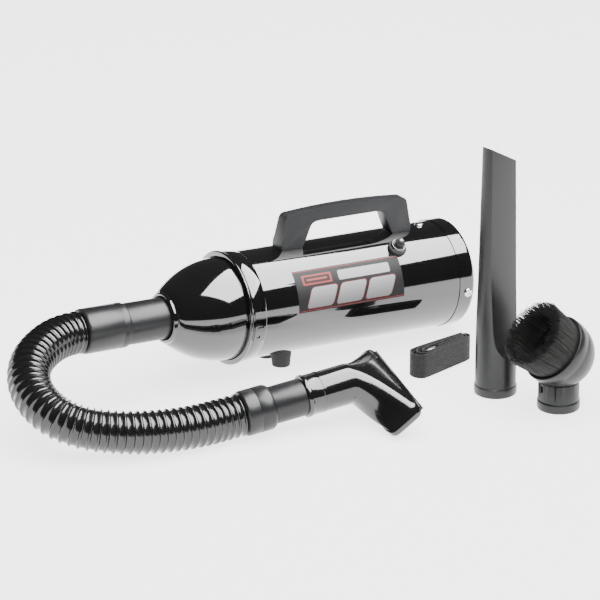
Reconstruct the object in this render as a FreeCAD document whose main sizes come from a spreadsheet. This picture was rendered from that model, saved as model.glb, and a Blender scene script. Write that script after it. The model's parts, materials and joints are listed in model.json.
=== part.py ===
"""Portable canister vacuum with its hose, nozzle, crevice tool, dusting brush and shoulder strap.

Frame: +Z up, the floor at Z = 0, origin at the middle of the kit's footprint (the hose set left out).
The canister lies along X with its nose towards -X and raised a little by the two front feet.
"""
import FreeCAD, Part
import Sketcher
import math
import os
from FreeCAD import Placement, Rotation, Vector

os.makedirs("parts", exist_ok=True)
doc = FreeCAD.newDocument("vacuum_kit")

# ---------------------------------------------------------------- driving dimensions
SIZES = {
    # where things stand on the floor
    "flange_east": -103.86, "flange_north": 112.8, "axis_height": 68.25, "nose_pitch": 2.93,
    # canister shell, measured along its axis from the front flange
    "tube_radius": 54.0, "tube_wall": 1.0, "tube_front": 2.0, "tube_rear": 246.0,
    "cap_radius": 54.75, "cap_rear": 265.0, "ring_radius": 55.5, "lip_radius": 57.0, "ring_rear": 18.0,
    "cone_radius": 51.5, "cone_wall": 1.6, "cone_spigot": 14.0, "cone_curve": 94.3, "cone_tip": 67.0,
    "neck_bore": 21.1, "neck_depth": 50.0,
    # handle, along the axis and above it
    "handle_front": 60.5, "handle_rear": 212.0, "handle_top": 91.5, "handle_inner": 79.0,
    "handle_base_width": 18.5, "handle_top_width": 11.5, "handle_shoulder": 86.5,
    # feet and switch
    "foot_station": 59.0, "foot_spread": 14.0, "foot_top": 11.2, "foot_bottom": 9.0,
    "switch_station": 183.0, "switch_angle": 33.6,
    # motor inside the tube
    "shaft_radius": 4.0, "fan_radius": 46.0, "core_radius": 24.0, "stator_bore": 24.6, "stator_radius": 40.0,
    # hose set
    "connector_radius": 20.75, "cuff_radius": 22.4, "hose_radius": 20.2, "hose_bore": 17.0,
    "wand_radius": 18.5, "cuff_length": 30.0, "wand_length": 60.0,
    "cuff_front": 161.0, "cuff_rear": 114.0,
    # nozzle
    "nozzle_tube": 20.0, "nozzle_bore": 18.57, "nozzle_neck": 49.0, "mouth_long": 125.0, "mouth_short": 41.7,
    "rim_depth": 6.0,
    # loose tools
    "tool_radius": 20.2, "tool_bore": 17.5, "tool_bead": 21.0, "crevice_height": 259.5,
    "crevice_width": 34.4, "crevice_depth": 13.0, "cup_radius": 34.5, "cup_wall": 2.0, "pivot_height": 57.0,
    "brush_tilt": 49.9, "bristle_length": 34.0, "strap_width": 25.0,
}
sheet = doc.addObject("Spreadsheet::Sheet", "Sizes")
for row, (alias, value) in enumerate(SIZES.items(), start=1):
    sheet.set(f"A{row}", alias)
    sheet.set(f"B{row}", str(value))
    sheet.setAlias(f"B{row}", alias)
doc.recompute()


def size(text):
    """The value of an expression over the sheet, such as "tube_radius - tube_wall"."""
    return float(sheet.evalExpression(text))


def bound(text):
    """The same expression written for another object of the document."""
    for alias in sorted(SIZES, key=len, reverse=True):
        text = text.replace(alias, "\0" + str(list(SIZES).index(alias)) + "\0")
    for index, alias in enumerate(SIZES):
        text = text.replace(f"\0{index}\0", "Sizes." + alias)
    return text


# ---------------------------------------------------------------- ways of making a piece
NODES = []


def node(label, item, place=None):
    """Name a finished piece and put it in its place."""
    item.Label = label
    if place is not None:
        item.Placement = place
    NODES.append(item)
    return item


def primitive(kind, name, sizes, place=None):
    """A Part primitive whose sizes are expressions."""
    item = doc.addObject("Part::" + kind, name)
    for key, text in sizes.items():
        item.setExpression(key, bound(str(text)))
    if place is not None:
        item.Placement = place
    return item


def joined(kind, name, items):
    """Several objects fused, intersected or grouped."""
    item = doc.addObject("Part::" + kind, name)
    if kind == "Compound":
        item.Links = items
    else:
        item.Shapes = items
    return item


def cut(name, base, tools):
    """A base with one or more tools taken away."""
    item = doc.addObject("Part::Cut", name)
    item.Base = base
    item.Tool = tools[0] if len(tools) == 1 else joined("MultiFuse", name + "_tools", tools)
    return item


def sketch_on(body, role, name):
    """A sketch on one of the body's own origin planes."""
    sketch = body.newObject("Sketcher::SketchObject", name)
    plane = [item for item in body.Origin.OriginFeatures if item.Role == role][0]
    sketch.AttachmentSupport = [(plane, "")]
    sketch.MapMode = "FlatFace"
    return sketch


def arc_middle(start, end, radius):
    """Middle of the arc from start to end; a positive radius bulges to the left of the way."""
    chord = end - start
    half = chord.Length / 2
    sag = abs(radius) - math.sqrt(radius * radius - half * half)
    left = Vector(-chord.y, chord.x, 0).normalize()
    return (start + end) / 2 + left * (sag if radius > 0 else -sag)


def outline(sketch, corners):
    """A closed outline. A corner is (x, y) or (x, y, radius of the arc that arrives at it)."""
    points = [Vector(size(str(c[0])), size(str(c[1])), 0) for c in corners]
    for index, corner in enumerate(corners):
        start = points[index - 1]
        end = points[index]
        if len(corner) == 3:
            middle = arc_middle(start, end, size(corner[2].lstrip("-")) * (-1 if corner[2][0] == "-" else 1))
            sketch.addGeometry(Part.Arc(start, middle, end), False)
        else:
            sketch.addGeometry(Part.LineSegment(start, end), False)
    count = len(corners)
    for index, corner in enumerate(corners):
        following = (index + 1) % count
        ends = [end_at(sketch, index, points[index]), end_at(sketch, following, points[index])]
        sketch.addConstraint(Sketcher.Constraint("Coincident", index, ends[0], following, ends[1]))
        for axis, kind, line in ((0, "DistanceX", -2), (1, "DistanceY", -1)):
            value = points[index][axis]
            if abs(value) < 1e-9:
                sketch.addConstraint(Sketcher.Constraint("PointOnObject", index, ends[0], line))
                continue
            number = sketch.addConstraint(Sketcher.Constraint(kind, -1, 1, index, ends[0], value))
            if isinstance(corner[axis], str):
                sketch.setExpression(f"Constraints[{number}]", bound(corner[axis]))
        if len(corner) == 3:
            number = sketch.addConstraint(Sketcher.Constraint("Radius", index, size(corner[2].lstrip("-"))))
            sketch.setExpression(f"Constraints[{number}]", bound(corner[2].lstrip("-")))


def end_at(sketch, index, point):
    """1 or 2: the end of a sketch's line or arc that lies at the point (arcs run anticlockwise)."""
    return 1 if (sketch.getPoint(index, 1) - point).Length < 1e-6 else 2


def turned(name, corners):
    """A solid of revolution about the body's own X axis, from corners (along, radius)."""
    body = doc.addObject("PartDesign::Body", name)
    sketch = sketch_on(body, "XY_Plane", name + "_profile")
    outline(sketch, corners)
    turn = body.newObject("PartDesign::Revolution", name + "_turn")
    turn.Profile = sketch
    turn.ReferenceAxis = (sketch, ["H_Axis"])
    turn.Angle = 360
    return body


def ring(name, start, end, inner, outer):
    """A plain turned ring or disc."""
    return turned(name, [(start, outer), (end, outer), (end, inner), (start, inner)])


def padded(name, role, corners, depth):
    """An outline extruded equally to both sides of an origin plane."""
    body = doc.addObject("PartDesign::Body", name)
    sketch = sketch_on(body, role, name + "_outline")
    outline(sketch, corners)
    pad = body.newObject("PartDesign::Pad", name + "_pad")
    pad.Profile = sketch
    pad.setExpression("Length", bound(str(depth)))
    pad.Midplane = True
    return body


def along(direction, base=(0, 0, 0)):
    """The placement that lays a piece's X axis along a direction."""
    return Placement(Vector(*base), Rotation(Vector(1, 0, 0), Vector(*direction)))


def upright(base=(0, 0, 0)):
    """The placement that stands a piece's X axis up."""
    return Placement(Vector(*base), Rotation(Vector(0, 1, 0), -90))


CANISTER = Placement(
    Vector(size("flange_east"), size("flange_north"), size("axis_height")),
    Rotation(Vector(0, 1, 0), size("nose_pitch")))


def radial(station, angle, radius):
    """On the canister's side: X axis outwards, angle in degrees from the top towards -Y."""
    turn = math.radians(angle)
    outwards = Vector(0, -math.sin(turn), math.cos(turn))
    return Placement(Vector(station, 0, 0) + outwards * radius, Rotation(Vector(1, 0, 0), outwards))


def hole(name, radius, place, depth=16):
    """A round cutting tool centred on its place, with its axis along the place's X axis."""
    tool = primitive("Cylinder", name, {"Radius": radius, "Height": depth})
    tool.Placement = place.multiply(Placement(Vector(-depth / 2, 0, 0), Rotation(Vector(0, 1, 0), 90)))
    return tool


def pan_screw(name, head, rise, shank, length, place):
    """A pan-head screw with its head's underside at the place and the head outwards."""
    body = turned(name, [(-length, shank), (0, shank), (0, head), (rise * 0.45, head),
                         (rise, head * 0.6), (rise, 0), (-length, 0)])
    body.Placement = place
    return body


# ---------------------------------------------------------------- canister shell
def motor_housing():
    """Rolled steel tube with holes for the switch, the handle, the feet and the rear screw."""
    tube = ring("housing_tube", "tube_front", "tube_rear", "tube_radius - tube_wall", "tube_radius")
    wall = size("tube_radius")
    tools = [hole("switch_hole", 6.3, radial(size("switch_station"), size("switch_angle"), wall))]
    for station in HANDLE_SCREWS:
        tools.append(hole(f"handle_hole_{station}", 2.1, radial(station, 0, wall)))
    tools.append(hole("rear_screw_hole", 2.1, radial(REAR_SCREW, 0, wall)))
    for side in (-1, 1):
        tools.append(hole(f"foot_hole_{side}", 2.1, foot_axis(side)))
    node("motor_housing", cut("motor_housing", tube, tools), CANISTER)


HANDLE_SCREWS = (72, 202)
REAR_SCREW = 228
CAP_SCREW = 255.5
CAP_SCREW_ANGLES = (95, -85)


def foot_axis(side):
    """The screw line of a front foot, in the canister's frame."""
    down = CANISTER.Rotation.inverted().multVec(Vector(0, 0, -1))
    drop = size("tube_radius") * 0.93
    centre = Vector(size("foot_station"), side * size("foot_spread"), 0) + down * drop
    return Placement(centre, Rotation(Vector(1, 0, 0), down))


def end_cap():
    """Drawn cap with a spigot inside the tube, a rounded edge, vent slots and a gland hole."""
    shell = turned("cap_shell", [
        ("tube_rear - 8", "tube_radius - tube_wall - 0.1"), ("tube_rear", "tube_radius - tube_wall - 0.1"),
        ("tube_rear", "cap_radius"), ("cap_rear - 5.5", "cap_radius"), ("cap_rear", "cap_radius - 5.5", "5.5"),
        ("cap_rear", 6.1), ("cap_rear - 2", 6.1), ("cap_rear - 2", "cap_radius - 6"),
        ("cap_rear - 6", "tube_radius - 2.4"), ("tube_rear - 8", "tube_radius - 2.4")])
    tools = []
    for index in range(14):
        slot = primitive("Box", f"vent_{index}", {"Length": 6, "Width": 4, "Height": 19})
        turn = Rotation(Vector(1, 0, 0), 360 * index / 14)
        slot.Placement = Placement(Vector(size("cap_rear - 4"), 0, 0), turn).multiply(
            Placement(Vector(0, -2, 21), Rotation()))
        tools.append(slot)
    for angle in CAP_SCREW_ANGLES:
        tools.append(hole(f"cap_hole_{angle}", 2.0, radial(CAP_SCREW, angle, size("cap_radius"))))
    node("end_cap", cut("end_cap", shell, tools), CANISTER)
    screws = [pan_screw(f"cap_screw_{angle}", 4.4, 2.2, 1.9, 3.3, radial(CAP_SCREW, angle, size("cap_radius")))
              for angle in CAP_SCREW_ANGLES]
    node("cap_screws", joined("Compound", "cap_screws", screws), CANISTER)
    gland = turned("cord_gland", [
        ("cap_rear - 9", 7.5), ("cap_rear - 2.1", 7.5), ("cap_rear - 2.1", 6), ("cap_rear + 0.1", 6),
        ("cap_rear + 0.1", 8), ("cap_rear + 5", 7), ("cap_rear + 14", 4.6), ("cap_rear + 14", 3),
        ("cap_rear - 9", 3)])
    node("cord_gland", gland, CANISTER)
    foam = ring("exhaust_filter", "tube_rear + 3", "tube_rear + 12", 9, "tube_radius - 3")
    node("exhaust_filter", foam, CANISTER)


def lock_ring():
    """Bayonet ring round the tube's front, with its lip, and the latch plate on the operator's side."""
    band = turned("lock_ring", [
        (-1, "lip_radius"), (1.8, "lip_radius"), (2.4, "ring_radius"), ("ring_rear", "ring_radius"),
        ("ring_rear", "tube_radius + 0.08"), (1.5, "tube_radius + 0.08"), (1.5, "cone_radius + 0.7"),
        (-1, "cone_radius + 0.7")])
    node("lock_ring", band, CANISTER)
    strip = ring("plate_strip", 4.5, 16.5, "ring_radius", "ring_radius + 1.1")
    block = primitive("Box", "plate_block", {"Length": 30, "Width": 30, "Height": 30})
    block.Placement = Placement(Vector(-5, -70, -18), Rotation())
    plate = joined("MultiCommon", "plate_blank", [strip, block])
    slots = []
    for index, (drop, length) in enumerate(((-4, 7), (-15, 4))):
        slot = primitive("Box", f"plate_slot_{index}", {"Length": length, "Width": 10, "Height": 3})
        slot.Placement = Placement(Vector(7, -62, drop), Rotation())
        slots.append(slot)
    node("latch_plate", cut("latch_plate", plate, slots), CANISTER)


def nose_cone():
    """Bullet-shaped dust chamber with a rolled neck, and the bag, collar and seal that it holds."""
    wall = "cone_wall"
    cone = turned("cone_shell", [
        ("cone_spigot", "cone_radius"), (9, "cone_radius"), (9, "cone_radius - 0.9"), (6, "cone_radius - 0.9"),
        (6, "cone_radius"), (-2.5, "cone_radius"), ("-cone_tip + 2", 27.8, "-cone_curve"), ("-cone_tip", 25.2),
        ("-cone_tip - 2", 25.2), ("-cone_tip - 3", 24.2), ("-cone_tip - 3", 22.2), ("-cone_tip - 2", "neck_bore"),
        ("-neck_depth", "neck_bore"), ("-neck_depth", "neck_bore + 1.5"), (-62.4, "neck_bore + 1.5"),
        (-62, 28.3), (-2.5, "cone_radius - cone_wall", "cone_curve - cone_wall"),
        ("cone_spigot", "cone_radius - cone_wall")])
    node("nose_cone", cone, CANISTER)
    seal = ring("cone_seal", 6.1, 8.9, "cone_radius - 0.9", "cone_radius + 0.55")
    node("cone_seal", seal, CANISTER)
    collar = ring("bag_collar", "-neck_depth + 1", "-neck_depth + 3", 14, 34)
    node("bag_collar", collar, CANISTER)
    bag = turned("dust_bag", [
        ("-neck_depth + 3.2", 28), (-38, 37), (-20, 44), (12, 47), (30, 44), (36, 20), (36, 0),
        ("-neck_depth + 3.2", 0)])
    node("dust_bag", bag, CANISTER)


# ---------------------------------------------------------------- handle, feet, switch and label
def carry_handle():
    """Moulded arch: a side outline, tapered from a wide foot to a narrow grip, saddled on the tube."""
    arch = padded("handle_arch", "XZ_Plane", [
        ("handle_front", 40), ("handle_front", 62), ("handle_front + 4.5", "handle_shoulder - 1.5"),
        ("handle_front + 12", "handle_shoulder + 2.5", "9"), (138, "handle_top", "560"),
        ("handle_rear - 12", "handle_shoulder + 2.5", "560"), ("handle_rear - 4.5", "handle_shoulder - 1.5", "9"),
        ("handle_rear", 62), ("handle_rear", 40), (191, 40), (190.5, 54), (186.5, 62), (181, 74),
        (174, "handle_inner", "-9"), (101, "handle_inner"), (94, 74, "-9"), (88.5, 62), (84.5, 54), (84, 40)], 40)
    taper = padded("handle_taper", "YZ_Plane", [
        ("-handle_base_width / 2", 40), ("-handle_base_width / 2", 58), ("-handle_top_width / 2", 96),
        ("handle_top_width / 2", 96), ("handle_base_width / 2", 58), ("handle_base_width / 2", 40)], 600)
    blank = joined("MultiCommon", "handle_blank", [arch, taper])
    saddle = primitive("Cylinder", "handle_saddle", {"Radius": "tube_radius + 0.02", "Height": 300},
                       Placement(Vector(0, 0, 0), Rotation(Vector(0, 1, 0), 90)))
    tools = [saddle]
    for station in HANDLE_SCREWS:
        tools.append(hole(f"handle_pilot_{station}", 2.0, radial(station, 0, size("tube_radius")), 32))
    node("carry_handle", cut("carry_handle", blank, tools), CANISTER)
    screws = []
    for station in HANDLE_SCREWS:
        place = radial(station, 0, size("tube_radius - tube_wall - 0.2"))
        turned_in = place.multiply(Placement(Vector(0, 0, 0), Rotation(Vector(0, 1, 0), 180)))
        screws.append(pan_screw(f"handle_screw_{station}", 4, 2.4, 1.95, 14, turned_in))
    node("handle_screws", joined("Compound", "handle_screws", screws), CANISTER)
    rear = pan_screw("rear_screw_blank", 4.4, 2.2, 1.95, 10, radial(REAR_SCREW, 0, size("tube_radius")))
    node("rear_screw", joined("Compound", "rear_screw", [rear]), CANISTER)


def side_label():
    """Thin printed panel wrapped on the operator's side."""
    band = ring("label_band", 56, 179, "tube_radius", "tube_radius + 0.25")
    block = primitive("Box", "label_block", {"Length": 140, "Width": 40, "Height": 60})
    turn = Rotation(Vector(1, 0, 0), 64)
    block.Placement = Placement(Vector(50, 0, 0), turn).multiply(Placement(Vector(0, -20.8, 30), Rotation()))
    block.setExpression("Width", "41.6")
    node("side_label", joined("MultiCommon", "side_label", [band, block]), CANISTER)


def front_feet():
    """Two tapered rubber feet with a screw up the middle of each; their undersides are level."""
    saddle = primitive("Cylinder", "foot_saddle", {"Radius": "tube_radius + 0.02", "Height": 200})
    saddle.Placement = CANISTER.multiply(Placement(Vector(-20, 0, 0), Rotation(Vector(0, 1, 0), 90)))
    feet = []
    screws = []
    for side in (-1, 1):
        axis = CANISTER.multiply(foot_axis(side)).Base
        foot = primitive("Cone", f"foot_{side}", {"Radius1": "foot_bottom", "Radius2": "foot_top", "Height": 20},
                         Placement(Vector(axis.x, axis.y, 0), Rotation()))
        well = primitive("Cylinder", f"foot_well_{side}", {"Radius": 4.4, "Height": 6},
                         Placement(Vector(axis.x, axis.y, -1), Rotation()))
        pilot = primitive("Cylinder", f"foot_pilot_{side}", {"Radius": 2.05, "Height": 30},
                          Placement(Vector(axis.x, axis.y, -1), Rotation()))
        feet.append(cut(f"front_foot_{side}", foot, [saddle, well, pilot]))
        screws.append(pan_screw(f"foot_screw_{side}", 4, 2.2, 2.0, 17, along((0, 0, -1), (axis.x, axis.y, 5))))
    node("front_feet", joined("Compound", "front_feet", feet), Placement())
    node("foot_screws", joined("Compound", "foot_screws", screws), Placement())


def toggle_switch():
    """Toggle switch: body inside, rubber pad, ring nut and boot outside, and the lever that tips."""
    place = radial(size("switch_station"), size("switch_angle"), size("tube_radius"))
    seat = CANISTER.multiply(place)
    saddle = primitive("Cylinder", "switch_saddle", {"Radius": "tube_radius + 0.02", "Height": 60})
    saddle.Placement = place.inverse().multiply(
        Placement(Vector(size("switch_station") - 30, 0, 0), Rotation(Vector(0, 1, 0), 90)))
    pad = turned("switch_pad_blank", [(-3, 9.4), (2.6, 9.4), (3.6, 8.4), (3.6, 6.2), (-3, 6.2)])
    node("switch_pad", cut("switch_pad", pad, [saddle]), seat)
    node("switch_nut", turned("switch_nut", [(3.7, 7.8), (5.2, 7.8), (6.6, 6.9), (6.6, 6.1), (3.7, 6.1)]), seat)
    barrel = turned("switch_barrel", [(-6, 6), (8, 6), (8, 3.4), (-6, 3.4)])
    frame = primitive("Box", "switch_frame", {"Length": 12.2, "Width": 13, "Height": 18},
                      Placement(Vector(-18, -6.5, -9), Rotation()))
    node("switch_body", joined("MultiFuse", "switch_body", [barrel, frame]), seat)
    stick = turned("switch_stick", [(-3, 1.6), (8.2, 1.9), (9, 3.4), (11, 3.9), (15.5, 2.6), (18, 2.2), (18.8, 1.2),
                                    (18.8, 0), (-3, 0)])
    pivot = primitive("Cylinder", "switch_pivot", {"Radius": 1.9, "Height": 5},
                      Placement(LEVER_PIVOT - SWITCH_AXIS * 2.5, Rotation()))
    lever = joined("MultiFuse", "switch_lever", [stick, pivot])
    tipped = seat.multiply(Placement(Vector(0, 0, 0), Rotation(SWITCH_AXIS, -LEVER_TIP), LEVER_PIVOT))
    node("switch_lever", lever, tipped)


SWITCH_AXIS = Vector(0, 0, 1)
LEVER_PIVOT = Vector(6, 0, 0)
LEVER_TIP = 9


# ---------------------------------------------------------------- motor
def motor():
    """Two-pole motor on the canister's axis: fixed frame, and the rotor that turns in it."""
    shell = "tube_radius - tube_wall - 0.3"
    node("motor_mount_ring", ring("motor_mount_ring", 84, 90, "fan_radius + 2.6", shell), CANISTER)
    node("fan_housing", turned("fan_housing", [
        (66, "fan_radius + 2.5"), (98, "fan_radius + 2.5"), (98, 14), (96.5, 14), (96.5, "fan_radius + 1"),
        (67.5, "fan_radius + 1"), (67.5, 16), (66, 16)]), CANISTER)
    node("diffuser", ring("diffuser", 99, 105, 14, "fan_radius"), CANISTER)
    node("front_bracket", turned("front_bracket", [
        (106, "stator_radius + 3"), (124, "stator_radius + 3"), (124, "stator_radius + 0.2"),
        (109, "stator_radius + 0.2"), (109, 11.1), (106, 11.1)]), CANISTER)
    node("field_core", ring("field_core", 125, 165, "stator_bore", "stator_radius"), CANISTER)
    coils = []
    for side in (-1, 1):
        for station in (118.5, 165.5):
            coil = primitive("Box", f"coil_{side}_{station}", {"Length": 6, "Width": 40, "Height": 9})
            low = 25.5 if side > 0 else -34.5
            coil.Placement = Placement(Vector(station, -20, low), Rotation())
            coils.append(coil)
    node("field_coils", joined("Compound", "field_coils", coils), CANISTER)
    bracket = turned("rear_bracket_shell", [
        (172, "stator_radius + 3"), (212, "stator_radius + 3"), (212, 11.1), (209, 11.1),
        (209, "stator_radius + 1"), (172, "stator_radius + 1")])
    window = primitive("Box", "rear_bracket_window", {"Length": 16, "Width": 16, "Height": 21})
    window.Placement = radial(size("switch_station"), size("switch_angle"), size("tube_radius")).multiply(
        Placement(Vector(-20, -8, -10.5), Rotation()))
    node("rear_bracket", cut("rear_bracket", bracket, [window]), CANISTER)
    races = [ring(f"bearing_{station}", station, station + 5, "shaft_radius + 0.05", 11)
             for station in (106.5, 206.5)]
    node("motor_bearings", joined("Compound", "motor_bearings", races), CANISTER)
    holders = []
    carbons = []
    springs = []
    for side in (-1, 1):
        base = Placement(Vector(0, 0, 0), Rotation(Vector(1, 0, 0), 90 * side))
        outer = primitive("Box", f"holder_{side}", {"Length": 11, "Width": 8, "Height": 21})
        outer.Placement = base.multiply(Placement(Vector(190.5, -4, 18.5), Rotation()))
        inner = primitive("Box", f"holder_bore_{side}", {"Length": 8, "Width": 5, "Height": 25})
        inner.Placement = base.multiply(Placement(Vector(192, -2.5, 17), Rotation()))
        holders.append(cut(f"brush_holder_{side}", outer, [inner]))
        carbon = primitive("Box", f"carbon_{side}", {"Length": 7.8, "Width": 4.8, "Height": 14})
        carbon.Placement = base.multiply(Placement(Vector(192.1, -2.4, 16.1), Rotation()))
        carbons.append(carbon)
        spring = primitive("Cylinder", f"spring_{side}", {"Radius": 2.2, "Height": 9.2})
        spring.Placement = base.multiply(Placement(Vector(196, 0, 30.2), Rotation()))
        springs.append(spring)
    node("brush_holders", joined("Compound", "brush_holders", holders), CANISTER)
    node("carbon_brushes", joined("Compound", "carbon_brushes", carbons), CANISTER)
    node("brush_springs", joined("Compound", "brush_springs", springs), CANISTER)
    # rotor
    node("motor_shaft", turned("motor_shaft", [(72, "shaft_radius"), (213, "shaft_radius"), (213, 0), (72, 0)]),
         CANISTER)
    node("armature_core", ring("armature_core", 126, 164, "shaft_radius", "core_radius"), CANISTER)
    node("commutator", turned("commutator", [
        (182, 17.5), (184, 17.5), (184, 16), (204, 16), (204, "shaft_radius"), (182, "shaft_radius")]), CANISTER)
    disc = turned("impeller_hub", [
        (72, 10), (78, 13), (90, 16), (92, "fan_radius"), (94, "fan_radius"), (94, "shaft_radius"),
        (72, "shaft_radius")])
    vanes = [disc]
    for index in range(9):
        vane = primitive("Box", f"vane_{index}", {"Length": 19.5, "Width": 1.4, "Height": "fan_radius - 16"})
        turn = Placement(Vector(0, 0, 0), Rotation(Vector(1, 0, 0), 40 * index))
        vane.Placement = turn.multiply(Placement(Vector(73.5, -0.7, 15), Rotation()))
        vanes.append(vane)
    node("impeller", joined("MultiFuse", "impeller", vanes), CANISTER)


# ---------------------------------------------------------------- hose set
SPOT = Vector(size("flange_east"), size("flange_north"), 0)
WAND_WAY = Vector(0.983, -0.143, 0.12).normalize()
HOSE_END = SPOT + Vector(-68, -150.4, 23.6)
HOSE_START = CANISTER.multVec(Vector(-size("cuff_front"), 0, 0))
HOSE_OUT = CANISTER.Rotation.multVec(Vector(-1, 0, 0))


def hose_route():
    """Corner points of the hose's centre line, from the upper cuff to the lower one."""
    first = HOSE_START + HOSE_OUT * 17
    last = HOSE_END - WAND_WAY * 17
    bends = [(-205, -12, 77), (-235, -32, 70), (-250, -60, 56), (-246, -92, 42), (-225, -116, 31),
             (-190, -134, 25), (-152, -144, 22), (-115, -149, 21)]
    return [HOSE_START, first] + [SPOT + Vector(*bend) for bend in bends] + [last, HOSE_END]


def tube_path(points):
    """Straight runs joined by tangent arcs, each arc as large as its two runs allow."""
    edges = []
    here = points[0]
    for before, corner, after in zip(points, points[1:], points[2:]):
        back = (before - corner)
        forth = (after - corner)
        turn = math.pi - back.getAngle(forth)
        reach = 0.45 * min(back.Length, forth.Length)
        radius = reach / math.tan(turn / 2)
        print(f"hose corner turns {math.degrees(turn):.1f} degrees, radius {radius:.0f} mm")
        start = corner + back.normalize() * reach
        end = corner + forth.normalize() * reach
        inwards = (back + forth).normalize()
        middle = corner + inwards * (math.hypot(radius, reach) - radius)
        edges.append(Part.LineSegment(here, start).toShape())
        edges.append(Part.Arc(start, middle, end).toShape())
        here = end
    edges.append(Part.LineSegment(here, points[-1]).toShape())
    return Part.Wire(edges)


def swept_tube(path, radius):
    """A round solid swept along a path."""
    first = path.Edges[0]
    start = first.valueAt(first.FirstParameter)
    way = first.tangentAt(first.FirstParameter)
    section = Part.Wire(Part.makeCircle(radius, start, way))
    return path.makePipeShell([section], True, False, 1)


def hose_set():
    """Connector, cuffs, ribbed hose and wand end; the hose's ribs are left to its outer size."""
    node("nose_connector", turned("nose_connector", [
        ("-cuff_rear", "connector_radius"), ("-neck_depth - 2", "connector_radius"),
        ("-neck_depth - 1", "connector_radius - 0.8"), ("-neck_depth - 1", 17.5), ("-cuff_rear", 17.5)]), CANISTER)
    node("upper_cuff", turned("upper_cuff", [
        ("-cuff_front", "cuff_radius - 1.6"), ("-cuff_front + 1.6", "cuff_radius"),
        ("-cuff_rear - 1.4", "cuff_radius"), ("-cuff_rear", "cuff_radius - 1.2"), ("-cuff_rear", 17),
        ("-cuff_front", 17)]), CANISTER)
    path = tube_path(hose_route())
    hose = doc.addObject("Part::Feature", "hose_tube")
    hose.Shape = swept_tube(path, size("hose_radius")).cut(swept_tube(path, size("hose_bore")))
    expected = math.pi * (size("hose_radius") ** 2 - size("hose_bore") ** 2) * path.Length
    print(f"hose length {path.Length:.1f} mm, volume {hose.Shape.Volume:.0f} against {expected:.0f} mm3")
    node("hose_tube", hose)
    end = along(WAND_WAY, HOSE_END)
    node("lower_cuff", turned("lower_cuff", [
        (0, "cuff_radius - 1.4"), (1.5, "cuff_radius - 0.1"), ("cuff_length - 4", "cuff_radius - 0.1"),
        ("cuff_length", "wand_radius + 1", "4.3"), ("cuff_length", 16), (0, 16)]), end)
    node("wand_end", turned("wand_end", [
        ("cuff_length", "wand_radius"), ("cuff_length + wand_length - 1", "wand_radius"),
        ("cuff_length + wand_length", "wand_radius - 0.8"), ("cuff_length + wand_length", 16),
        ("cuff_length", 16)]), end)


def oval_ring(centre, across, up, width, height, power):
    """Points round an oval whose corners fill out as the power grows; a power of 2 is an ellipse."""
    points = []
    for index in range(40):
        turn = 2 * math.pi * (index + 0.5) / 40
        sides = [math.copysign(abs(part) ** (2 / power), part) for part in (math.cos(turn), math.sin(turn))]
        points.append(centre + across * (sides[0] * width / 2) + up * (sides[1] * height / 2))
    return points


def faceted(first, last):
    """A closed solid between two rings of points, with flat triangles for its side."""
    faces = [Part.Face(Part.makePolygon(ends + ends[:1])) for ends in (first, last)]
    for index, (near, far) in enumerate(zip(first, last)):
        after = (index + 1) % len(first)
        for corners in ((near, first[after], last[after]), (near, last[after], far)):
            faces.append(Part.Face(Part.makePolygon([*corners, corners[0]])))
    solid = Part.Solid(Part.Shell(faces))
    if solid.Volume < 0:
        solid.reverse()
    return solid


MOUTH_LONG = Vector(0.15, 0.977, 0.15).normalize()
MOUTH_OUT = Vector(0.643, 0.018, -0.763).normalize()
MOUTH_CENTRE = SPOT + Vector(74.6, -179.6, 23.5)
NOZZLE_START = 63


def upholstery_nozzle():
    """Nozzle: a round neck, a tent-shaped head and a straight rim round the mouth."""
    mouth_up = MOUTH_LONG.cross(MOUTH_OUT)
    if mouth_up.z < 0:
        mouth_up = mouth_up * -1
    neck_up = WAND_WAY.cross(MOUTH_LONG)
    collar = HOSE_END + WAND_WAY * NOZZLE_START
    neck_end = collar + WAND_WAY * size("nozzle_neck")
    rim_back = MOUTH_CENTRE - MOUTH_OUT * size("rim_depth")

    def head(inset, radius):
        start = oval_ring(neck_end, MOUTH_LONG, neck_up, radius * 2, radius * 2, 2)
        end = oval_ring(rim_back, MOUTH_LONG, mouth_up, size("mouth_long") - 5 - 2 * inset,
                        size("mouth_short") - 5 - 2 * inset, 7)
        return faceted(start, end)

    def rim(width, height, power, reach):
        start = oval_ring(rim_back, MOUTH_LONG, mouth_up, width, height, power)
        return faceted(start, [point + MOUTH_OUT * reach for point in start])

    bore = size("nozzle_bore")
    neck = Part.makeCylinder(size("nozzle_tube"), size("nozzle_neck"), collar, WAND_WAY)
    bead = Part.makeCylinder(size("nozzle_tube") + 1, 5, collar, WAND_WAY)
    outside = neck.fuse([bead, head(0, size("nozzle_tube")),
                         rim(size("mouth_long"), size("mouth_short"), 7, size("rim_depth"))])
    inside = Part.makeCylinder(bore, size("nozzle_neck") + 2, collar - WAND_WAY, WAND_WAY)
    inside = inside.fuse([head(1.8, bore - 0.6),
                          rim(size("mouth_long") - 8.6, size("mouth_short") - 8.6, 7, size("rim_depth") + 2)])
    shell = doc.addObject("Part::Feature", "nozzle_body")
    shell.Shape = outside.cut(inside)
    node("nozzle_body", shell)
    strip = doc.addObject("Part::Feature", "lint_strip")
    edge = MOUTH_CENTRE + mouth_up * (size("mouth_short") / 2 - 2)
    corner = edge - MOUTH_LONG * (size("mouth_long") / 2 - 6)
    face = Part.Face(Part.makePolygon([
        corner - mouth_up * 1.6, corner + mouth_up * 1.6, corner + mouth_up * 1.6 + MOUTH_LONG * (
            size("mouth_long") - 12), corner - mouth_up * 1.6 + MOUTH_LONG * (size("mouth_long") - 12),
        corner - mouth_up * 1.6]))
    strip.Shape = face.extrude(MOUTH_OUT * 2.6)
    node("lint_strip", strip)


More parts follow.
